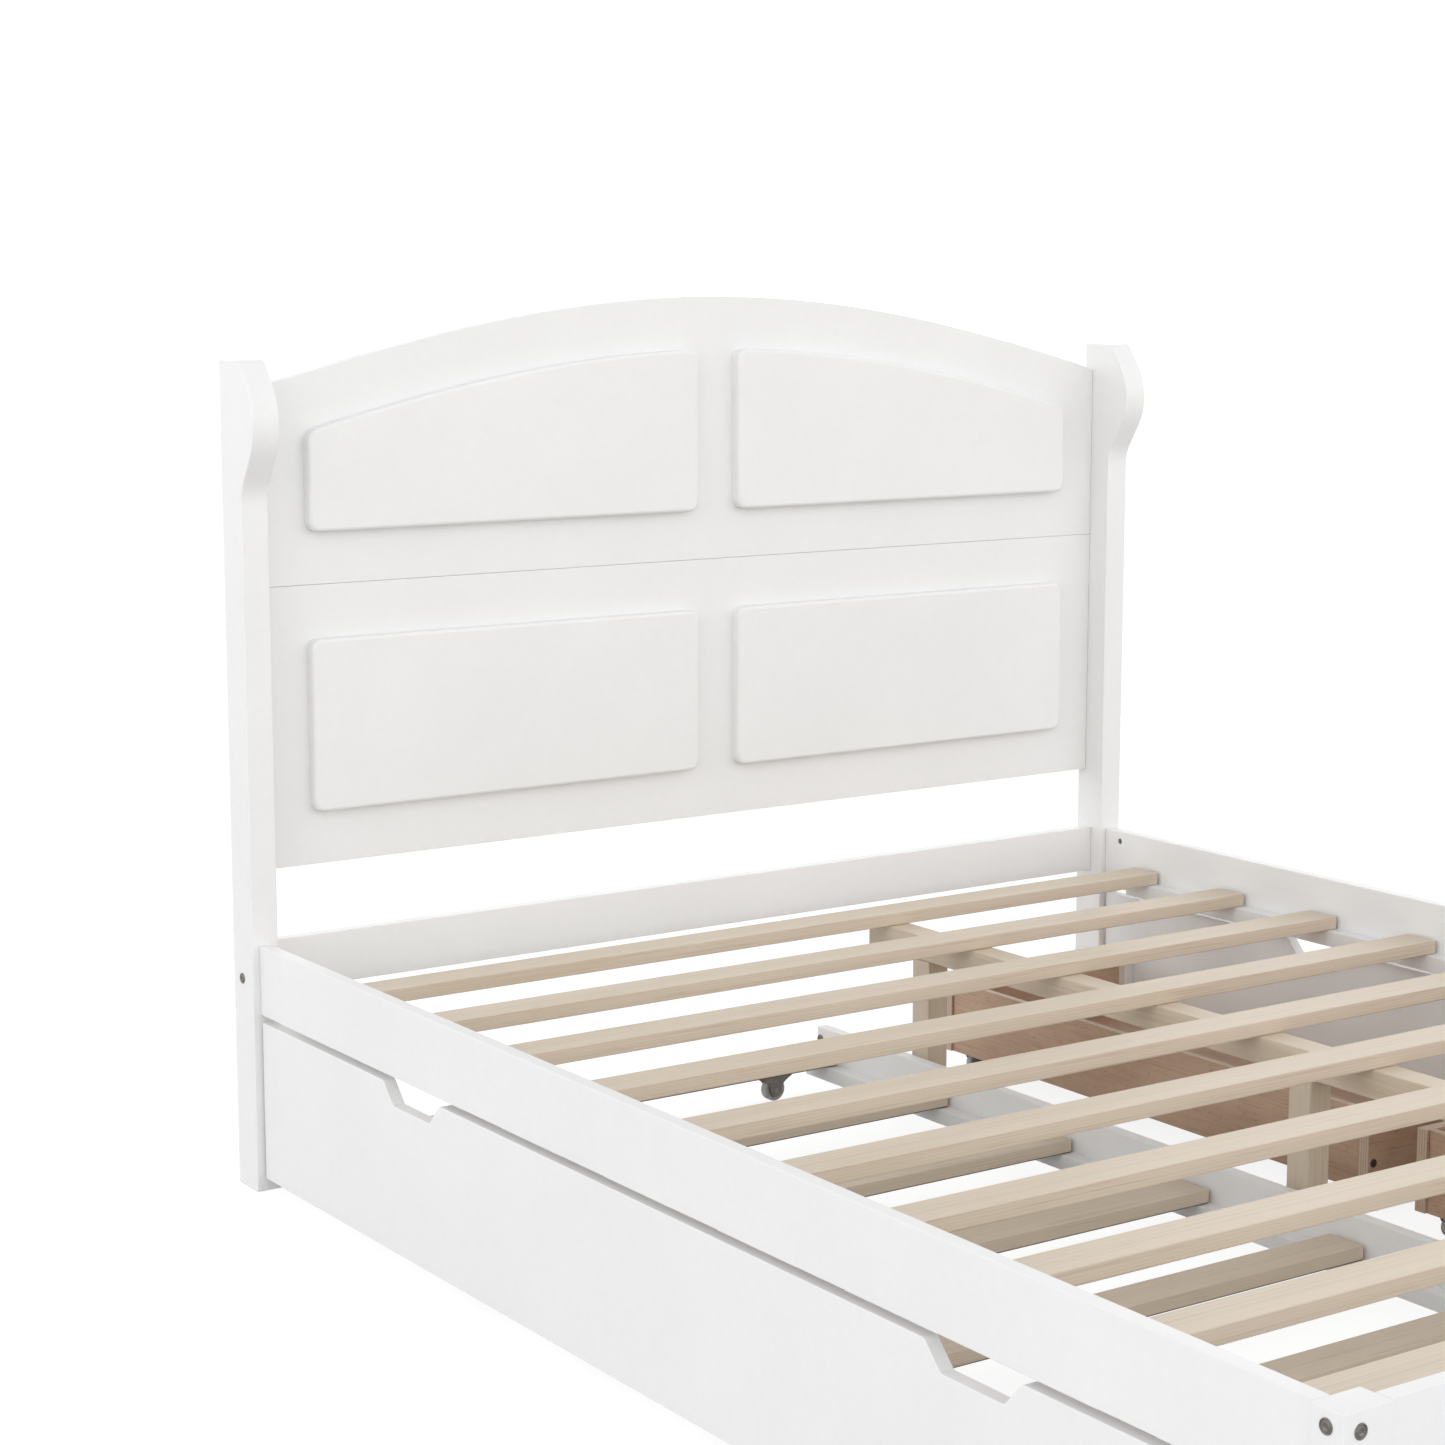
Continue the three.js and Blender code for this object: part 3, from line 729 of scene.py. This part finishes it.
def rail_bolts(sign, side, rail, inner):
    """Bolts through the posts into barrel nuts in the rails."""
    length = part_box("foot_post_left")[0].y
    post_low, post_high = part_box(f"foot_post_{side}")
    head_low, head_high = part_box(f"head_post_{side}")
    out = (sign, 0, 0)
    head_x = head_high.x if sign > 0 else head_low.x
    foot_x = post_high.x if sign > 0 else post_low.x
    make_bolt(f"bolt_head_post_{side}", (head_x, from_head(0.0275), 0.3015), out, "bed", BOLT_STEEL)
    foot_y = from_head(2.0913)
    make_bolt(f"bolt_foot_post_{side}_outer", (foot_x, foot_y, 0.3354), out, "bed", BOLT_STEEL)
    make_bolt(f"bolt_foot_post_{side}_end", (sign * 0.773, length, 0.333), (0, -1, 0), "bed", BOLT_STEEL)
    reach = 0.0359
    ends = {"head": rail.location.y + rail.dimensions.y / 2 - reach,
            "foot": rail.location.y - rail.dimensions.y / 2 + reach}
    for word, y in ends.items():
        place = (inner, y, 0.3354)
        drill(rail, place, (-sign, 0, 0), NUT_R, NUT_DEPTH)
        make_nut(f"nut_side_rail_{side}_{word}", place, (-sign, 0, 0), "bed")


def deck():
    finish_board("centre_beam", "bed", WOOD["Y"], SLAT_EDGE)
    for place in ("head", "middle", "foot"):
        finish_board(f"centre_leg_{place}", "bed", WOOD["Z"], SLAT_EDGE)
    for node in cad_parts:
        if node.startswith("bed_slat_"):
            finish_board(node, "bed", WOOD["X"], SLAT_EDGE)


# Casters

def cheek_outline(radius, flange, top):
    """A caster cheek in (x, z) round the axle: round at the bottom and flared towards its plate."""
    low = [(0.56 * math.cos(a), 0.56 * math.sin(a)) for a in [math.radians(t) for t in range(-90, -9, 10)]]
    wide = flange / radius
    flare = [(0.565, 0.0), (0.65, 0.30), (0.83, 0.58), (wide * 0.70, 0.86), (wide * 0.94, 1.10), (wide, 1.26)]
    right = [(x * radius, z * radius) for x, z in [*low, *smooth_through(flare, 4)]]
    right.append((flange, top))
    return right + [(-x, z) for x, z in reversed(right[1:])]


def make_caster(name, wheel_node, top, body, plate, thick):
    """A fixed caster's fork, plate, screws and axle over one wheel."""
    low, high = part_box(wheel_node)
    centre = (low + high) / 2
    radius = (high.z - low.z) / 2
    bm = bmesh.new()
    cheek = cheek_outline(radius, plate[0] / 2 - 0.0012, top - thick / 2 - centre.z)
    gap = (high.y - low.y) / 2 + 0.0008
    for side in (-1, 1):
        part = slab_bmesh(cheek, thick)
        round_edges(part, thick * 0.22, 2)
        y = centre.y + side * gap + (0 if side < 0 else thick)
        turn = Matrix.Translation((centre.x, y, centre.z)) @ FORWARD
        bmesh.ops.transform(part, matrix=turn, verts=part.verts[:])
        part_mesh = finished_mesh(part, "cheek")
        bm.from_mesh(part_mesh)
        bpy.data.meshes.remove(part_mesh)
    px, py = plate[0] / 2, plate[1] / 2
    corner = 0.004
    outline = []
    for sx, sy, first in ((1, 1, 0), (-1, 1, 90), (-1, -1, 180), (1, -1, 270)):
        for t in range(0, 91, 15):
            a = math.radians(first + t)
            outline.append((centre.x + sx * (px - corner) + corner * math.cos(a),
                            centre.y + sy * (py - corner) + corner * math.sin(a)))
    part = slab_bmesh(outline, thick)
    round_edges(part, thick * 0.22, 2)
    bmesh.ops.transform(part, matrix=Matrix.Translation((0, 0, top - thick)), verts=part.verts[:])
    part_mesh = finished_mesh(part, "plate")
    bm.from_mesh(part_mesh)
    bpy.data.meshes.remove(part_mesh)
    bmesh.ops.translate(bm, vec=-centre, verts=bm.verts[:])
    fork = make_piece(name + "_fork", finished_mesh(bm, "fork"), body, FORK_STEEL, centre)

    head_r, head_h = radius * 0.27, 0.0011
    reach = gap + thick
    end = [(head_r * 0.55, reach), (head_r, reach), (head_r * 0.93, reach + head_h * 0.8),
           (head_r * 0.74, reach + head_h), (head_r * 0.62, reach + head_h * 0.35),
           (0, reach + head_h * 0.25)]
    axle = [(r, -y) for r, y in reversed(end)] + end
    axle_mesh = turned_mesh(axle, 32)
    axle_mesh.transform(facing((0, 1, 0)))
    make_piece(name + "_axle", axle_mesh, body, AXLE_STEEL, centre)
    screws(name, centre, top - thick, plate, body)
    return fork


def screws(name, centre, under, plate, body):
    """Four pan-head screws under a caster's plate."""
    r, h = 0.0026, 0.0014
    profile = [(0, 0), (r * 0.55, 0), (r, -h * 0.45), (r, -h - 0.001), (0, -h - 0.001)]
    inset = 0.0052
    n = 0
    for sx in (-1, 1):
        for sy in (-1, 1):
            n += 1
            mesh = turned_mesh([(a, -b) for a, b in profile], 24)
            mesh.transform(facing((0, 0, -1)) @ Matrix.Translation((0, 0, -h)))
            place = (centre.x + sx * (plate[0] / 2 - inset), centre.y + sy * (plate[1] / 2 - inset), under)
            make_piece(f"{name}_screw_{n}", mesh, body, BOLT_STEEL, place)


def wheel_mesh(radius, width):
    """A moulded wheel along y: rounded tread, a rim, a dished side and a hub."""
    w = width / 2
    ease = 0.0022
    side = [(0, w * 0.96), (radius * 0.30, w * 0.96), (radius * 0.34, w * 0.90), (radius * 0.36, w * 0.62),
            (radius * 0.66, w * 0.62), (radius * 0.70, w * 0.88), (radius * 0.73, w * 0.94)]
    side += [(radius - ease + ease * math.sin(a), w - ease + ease * math.cos(a))
             for a in [math.radians(t) for t in range(0, 91, 15)]]
    other = [(r, -z) for r, z in reversed(side)]
    mesh = turned_mesh(side + other, 64)
    mesh.transform(facing((0, 1, 0)))
    return mesh


def make_wheel(node):
    low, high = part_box(node)
    centre = (low + high) / 2
    mesh = wheel_mesh((high.z - low.z) / 2, high.y - low.y)
    make_piece(f"{node}_finished", mesh, node, NYLON, centre, [node])


# Trundle

def front_outline(start, end, low, high, notches):
    """A front's outline in (y, z), from its head end, with hand notches in the top edge."""
    wide, narrow, soft = HAND_TOP_W / 2, HAND_BOTTOM_W / 2, HAND_SOFT
    floor = high - HAND_DEPTH
    points = [(start, low), (start, high)]
    for y in notches:
        corner_in = (y + narrow + soft * 0.7, floor + soft * 0.7)
        corner_out = (y - narrow - soft * 0.7, floor + soft * 0.7)
        brink_in = (y + wide - soft * 0.6, high - soft * 0.6)
        brink_out = (y - wide + soft * 0.6, high - soft * 0.6)
        points += soft_corner((y + wide + soft, high), (y + wide, high), brink_in, 6)
        points += soft_corner(corner_in, (y + narrow, floor), (y + narrow - soft, floor), 6)
        points += soft_corner((y - narrow + soft, floor), (y - narrow, floor), corner_out, 6)
        points += soft_corner(brink_out, (y - wide, high), (y - wide - soft, high), 6)
    return [*points, (end, high), (end, low)]


def front_panel(node, body, x0, x1, notches):
    low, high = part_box(node)
    outline = front_outline(high.y, low.y, low.z, high.z, notches)
    middle = ((x0 + x1) / 2, (low.y + high.y) / 2, (low.z + high.z) / 2)
    turn = Matrix.Translation((x0, 0, 0)) @ ACROSS
    return make_slab(f"{node}_finished", outline, x1 - x0, turn, middle, body, PAINT, PAINT_EDGE, [node])


def trundle():
    low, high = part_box("trundle_front")
    inner = low.x + BOARD
    front_panel("trundle_front", "trundle", low.x, inner, [from_head(d) for d in TRUNDLE_HANDS])
    make_board("trundle_front_ledger", (inner, low.y, TRUNDLE_RAIL_BOTTOM),
               (inner + LEDGER_W, high.y, TRUNDLE_LEDGER_TOP), "trundle", PAINT, LEDGER_EDGE)
    back_low, back_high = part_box("trundle_back_rail")
    back_inner = back_high.x - BOARD
    make_board("trundle_back_rail_finished", (back_inner, back_low.y, back_low.z), back_high,
               "trundle", PAINT, PAINT_EDGE, ["trundle_back_rail"])
    make_board("trundle_back_ledger", (back_inner - LEDGER_W, back_low.y, back_low.z),
               (back_inner, back_high.y, TRUNDLE_LEDGER_TOP), "trundle", PAINT, LEDGER_EDGE)
    for word, y in (("head", back_high.y - 0.0085), ("foot", back_low.y + 0.0085)):
        make_bolt(f"bolt_trundle_rail_{word}", (back_inner, y, 0.0795), (-1, 0, 0), "trundle", BOLT_STEEL)
    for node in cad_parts:
        if node.startswith("trundle_slat_"):
            finish_board(node, "trundle", LOW_WOOD_PAINTED_SHADE, SLAT_EDGE)
    for i in range(1, 5):
        wheel_node = f"trundle_wheel_{i}"
        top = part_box(f"trundle_caster_{i}")[1].z
        fork = make_caster(f"trundle_caster_{i}", wheel_node, top, "trundle", (0.064, 0.030), 0.002)
        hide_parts(f"trundle_caster_{i}")
        make_wheel(wheel_node)


# Drawers

def drawer(index):
    body = f"drawer_{index}"
    low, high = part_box(f"{body}_front")
    inner = high.x - BOARD
    front_panel(f"{body}_front", body, inner, high.x, [(low.y + high.y) / 2])
    for part, look in (("side_head", PLY_SIDE), ("side_foot", PLY_SIDE), ("back", PLY_BACK)):
        finish_board(f"{body}_{part}", body, look, PLY_EDGE)
    tray_low, tray_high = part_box(f"{body}_bottom")
    base = tray_high.z - DRAWER_FLOOR_T
    make_board(f"{body}_bottom_finished", (tray_low.x, tray_low.y, base), tray_high, body,
               PLY_BOTTOM, PLY_EDGE, [f"{body}_bottom"])
    side_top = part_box(f"{body}_back")[1].z
    cleats = {"head": (tray_high.y - CLEAT, tray_high.y), "foot": (tray_low.y, tray_low.y + CLEAT)}
    for word, (y0, y1) in cleats.items():
        make_board(f"{body}_cleat_{word}", (inner - CLEAT, y0, tray_high.z + CLEAT_SHORT),
                   (inner, y1, side_top - CLEAT_SHORT), body, PAINT, CLEAT_EDGE)
    back_x = (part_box(f"{body}_back")[0].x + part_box(f"{body}_back")[1].x) / 2
    head_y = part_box(f"{body}_side_head")[1].y
    foot_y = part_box(f"{body}_side_foot")[0].y
    for word, y, out in (("head", head_y, 1), ("foot", foot_y, -1)):
        make_bolt(f"{body}_bolt_{word}", (back_x, y, 0.079), (0, out, 0), body, DARK_BOLT, 0.0060)
    for i in range(1, 5):
        make_caster(f"{body}_caster_{i}", f"{body}_wheel_{i}", base, body, (0.044, 0.024), 0.0016)
        make_wheel(f"{body}_wheel_{i}")


# Studio

def floor_material():
    """White to the camera with a faint shadow under the bed; to the bed it is a grey studio floor."""
    material, tree, seen = start_material("floor_white")
    lit = tree.nodes.new("ShaderNodeBsdfPrincipled")
    for shader, grey, glow in ((seen, FLOOR_SEEN_GREY, FLOOR_SEEN_GLOW), (lit, FLOOR_GREY, FLOOR_GLOW)):
        shader.inputs["Base Color"].default_value = (grey, grey, grey, 1.0)
        shader.inputs["Roughness"].default_value = 1.0
        shader.inputs["Specular IOR Level"].default_value = 0.0
        shader.inputs["Emission Color"].default_value = (1.0, 1.0, 1.0, 1.0)
        shader.inputs["Emission Strength"].default_value = glow
    path = tree.nodes.new("ShaderNodeLightPath")
    choice = tree.nodes.new("ShaderNodeMixShader")
    tree.links.new(path.outputs["Is Camera Ray"], choice.inputs["Fac"])
    tree.links.new(lit.outputs["BSDF"], choice.inputs[1])
    tree.links.new(seen.outputs["BSDF"], choice.inputs[2])
    output = next(n for n in tree.nodes if n.type == "OUTPUT_MATERIAL")
    tree.links.new(choice.outputs["Shader"], output.inputs["Surface"])
    return material


def stage():
    mesh = bpy.data.meshes.new("floor")
    half = 40.0
    corners = [(-half, -half, 0), (half, -half, 0), (half, half, 0), (-half, half, 0)]
    mesh.from_pydata(corners, [], [(0, 1, 2, 3)])
    floor = bpy.data.objects.new("floor", mesh)
    floor.location.z = -0.0005
    bpy.context.scene.collection.objects.link(floor)
    mesh.materials.append(floor_material())

    world = bpy.data.worlds.new("studio")
    world.use_nodes = True
    tree = world.node_tree
    direction = tree.nodes.new("ShaderNodeTexCoord")
    height = tree.nodes.new("ShaderNodeSeparateXYZ")
    tree.links.new(direction.outputs["Generated"], height.inputs["Vector"])
    rise = maths(tree, "MULTIPLY", height.outputs["Z"], height.outputs["Z"])
    strength = ranged(tree, rise, HORIZON, ZENITH, 0.0, 1.0)
    tree.links.new(strength, tree.nodes["Background"].inputs["Strength"])
    tree.nodes["Background"].inputs["Color"].default_value = (1.0, 1.0, 1.0, 1.0)
    bpy.context.scene.world = world
    bpy.context.scene.view_settings.view_transform = "Standard"


def soft_light(name, place, target, size, power):
    light = bpy.data.lights.new(name, "AREA")
    light.shape = "DISK"
    light.size = size
    light.energy = power
    lamp = bpy.data.objects.new(name, light)
    lamp.location = place
    lamp.rotation_euler = (Vector(target) - Vector(place)).to_track_quat("-Z", "Y").to_euler()
    bpy.context.scene.collection.objects.link(lamp)


def camera():
    lens = bpy.data.cameras.new("camera")
    lens.lens = CAMERA_LENS
    lens.sensor_width = SENSOR
    lens.clip_end = 200.0
    eye = bpy.data.objects.new("camera", lens)
    eye.location = CAMERA_PLACE
    eye.rotation_euler = (math.radians(90 - CAMERA_DOWN), 0, math.radians(-CAMERA_TURN))
    bpy.context.scene.collection.objects.link(eye)
    bpy.context.scene.camera = eye


camera()
stage()
for lamp in LAMPS:
    soft_light(*lamp)
head_posts()
headboard()
bed_frame()
deck()
trundle()
drawer(1)
drawer(2)

bpy.context.view_layer.update()
